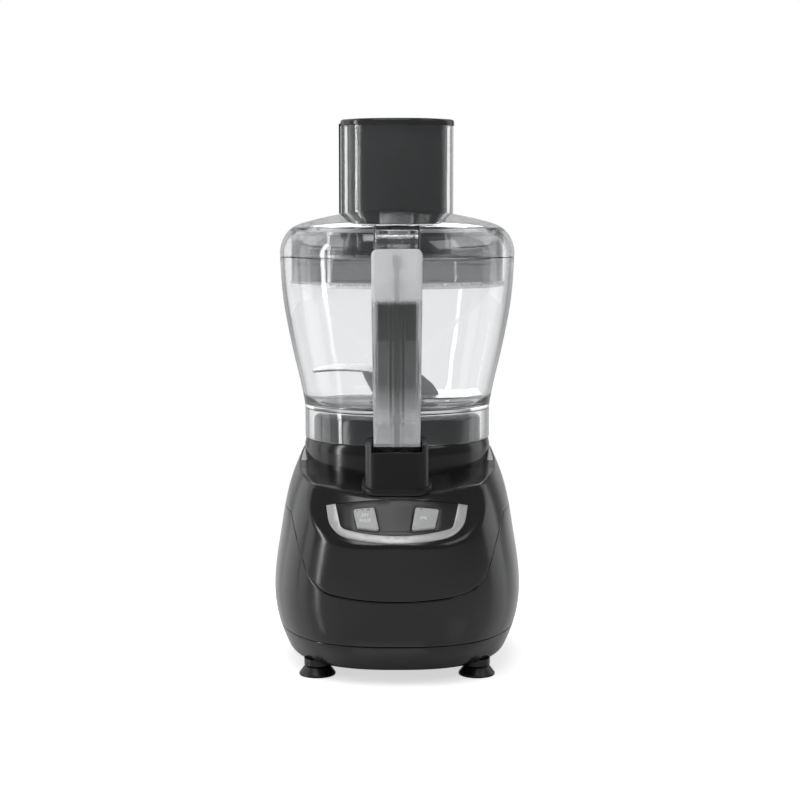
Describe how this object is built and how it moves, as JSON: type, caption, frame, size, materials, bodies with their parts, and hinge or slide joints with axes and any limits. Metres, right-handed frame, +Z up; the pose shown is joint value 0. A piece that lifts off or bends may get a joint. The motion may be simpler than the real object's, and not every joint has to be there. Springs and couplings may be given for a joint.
{
  "type": "food processor",
  "caption": "Countertop food processor: clear work bowl with handle, domed lid with feed chute and pusher, S-blade and disc, on a black motor base with two buttons.",
  "frame": {"origin": "middle of the footprint on the table, at the underside of the feet", "axes": "+Z up, -Y towards the controls and the handle, +X to the right seen from the front"},
  "size_m": [0.1758, 0.2105, 0.3804],
  "materials": {
    "housing": "satin moulded, black",
    "foot_rubber": "matt rubber",
    "silver_trim": "brushed silver paint",
    "panel_black": "semi-gloss",
    "button_grey": "satin",
    "nylon": "moulded",
    "dark_plastic": "moulded",
    "pusher_grey": "semi-gloss moulded",
    "board": "phenolic laminate",
    "clear_plastic": "clear moulded plastic",
    "frosted_plastic": "frosted moulded plastic",
    "blade_steel": "polished stainless",
    "bearing_steel": "ground",
    "spring_steel": "bright wire",
    "screw_steel": "zinc plated",
    "lamination": "stacked laminations",
    "cast_aluminium": "die cast",
    "bronze": "sintered",
    "brass": "stamped",
    "copper": "enamelled wire",
    "carbon": "graphite"
  },
  "bodies": {
    "base": {"bottom_pan": "housing", "lower_housing": "housing", "top_housing": "housing", "front_left_foot": "foot_rubber", "front_right_foot": "foot_rubber", "rear_left_foot": "foot_rubber", "rear_right_foot": "foot_rubber", "handle_dock": "housing", "panel_trim": "silver_trim", "panel_insert": "panel_black", "switch_block": "nylon", "switch_board": "board", "interlock_switch": "nylon", "plunger_spring": "spring_steel", "cord_gland": "foot_rubber", "gear_plate": "cast_aluminium", "lower_bush": "bronze", "upper_bush": "bronze", "shaft_seal": "foot_rubber", "stator_core": "lamination", "field_coils": "copper", "upper_bracket": "cast_aluminium", "lower_bracket": "cast_aluminium", "motor_bearings": "bearing_steel", "carbon_brushes": "carbon", "brush_holders": "brass", "case_screws": "screw_steel", "gear_plate_screws": "screw_steel", "motor_bolts": "screw_steel"},
    "on_button": {"on_button": "button_grey"},
    "off_pulse_button": {"off_pulse_button": "button_grey"},
    "drive": {"spindle": "bearing_steel", "drive_gear": "nylon", "spindle_clip": "spring_steel"},
    "armature": {"armature_shaft": "bearing_steel", "armature_core": "lamination", "armature_windings": "copper", "commutator": "copper", "cooling_fan": "nylon", "motor_pinion": "bearing_steel"},
    "lid_plunger": {"interlock_plunger": "nylon"},
    "bowl": {"bowl": "clear_plastic", "bowl_handle": "frosted_plastic", "handle_cover": "frosted_plastic"},
    "cutters": {"blade_hub": "dark_plastic", "lower_blade": "blade_steel", "upper_blade": "blade_steel", "disc_stem": "dark_plastic", "cutting_disc": "blade_steel", "disc_hub": "dark_plastic"},
    "handle_rod": {"interlock_rod": "dark_plastic"},
    "lid_centre": {"lid_bush": "dark_plastic"},
    "lid": {"lid": "clear_plastic"},
    "pusher": {"pusher": "pusher_grey"}
  },
  "joints": [
    {"name": "on_press", "type": "slide", "parent": "base", "child": "on_button", "axis": [0, 0.7604, -0.6494], "range_m": [0, 0.0025], "stiffness_N_per_m": 400, "springref_m": -0.001},
    {"name": "off_pulse_press", "type": "slide", "parent": "base", "child": "off_pulse_button", "axis": [0, 0.7604, -0.6494], "range_m": [0, 0.0025], "stiffness_N_per_m": 400, "springref_m": -0.001},
    {"name": "spindle_spin", "type": "hinge", "parent": "base", "child": "drive", "pos_m": [0, 0.02025, 0.15], "axis": [0, 0, 1], "continuous": true},
    {"name": "motor_spin", "type": "hinge", "parent": "base", "child": "armature", "pos_m": [0, 0.06525, 0.07], "axis": [0, 0, 1], "continuous": true},
    {"name": "lid_plunger_slide", "type": "slide", "parent": "base", "child": "lid_plunger", "axis": [0, 0, 1], "range_m": [0, 0.0049], "deforming": ["plunger_spring"]},
    {"name": "bowl_lift", "type": "slide", "parent": "base", "child": "bowl", "axis": [0, 0, 1], "range_m": [0, 0.08]},
    {"name": "cutter_spin", "type": "hinge", "parent": "bowl", "child": "cutters", "pos_m": [0, 0.02025, 0.19], "axis": [0, 0, 1], "continuous": true},
    {"name": "handle_rod_slide", "type": "slide", "parent": "bowl", "child": "handle_rod", "axis": [0, -0.1711, 0.9853], "range_m": [0, 0.0051]},
    {"name": "lid_lift", "type": "slide", "parent": "bowl", "child": "lid_centre", "axis": [0, 0, 1], "range_m": [0, 0.12]},
    {"name": "lid_twist", "type": "hinge", "parent": "lid_centre", "child": "lid", "pos_m": [0, 0.02025, 0.306], "axis": [0, 0, 1], "range_deg": [0, 20]},
    {"name": "pusher_lift", "type": "slide", "parent": "lid", "child": "pusher", "axis": [0, 0, 1], "range_m": [0, 0.095]}
  ],
  "couplings": [
    {"joint": "motor_spin", "follows": "spindle_spin", "ratio": -5},
    {"joint": "cutter_spin", "follows": "spindle_spin", "ratio": 1},
    {"joint": "handle_rod_slide", "follows": "lid_twist", "m_per_rad": 0.014324},
    {"joint": "lid_plunger_slide", "follows": "lid_twist", "m_per_rad": 0.013751}
  ]
}
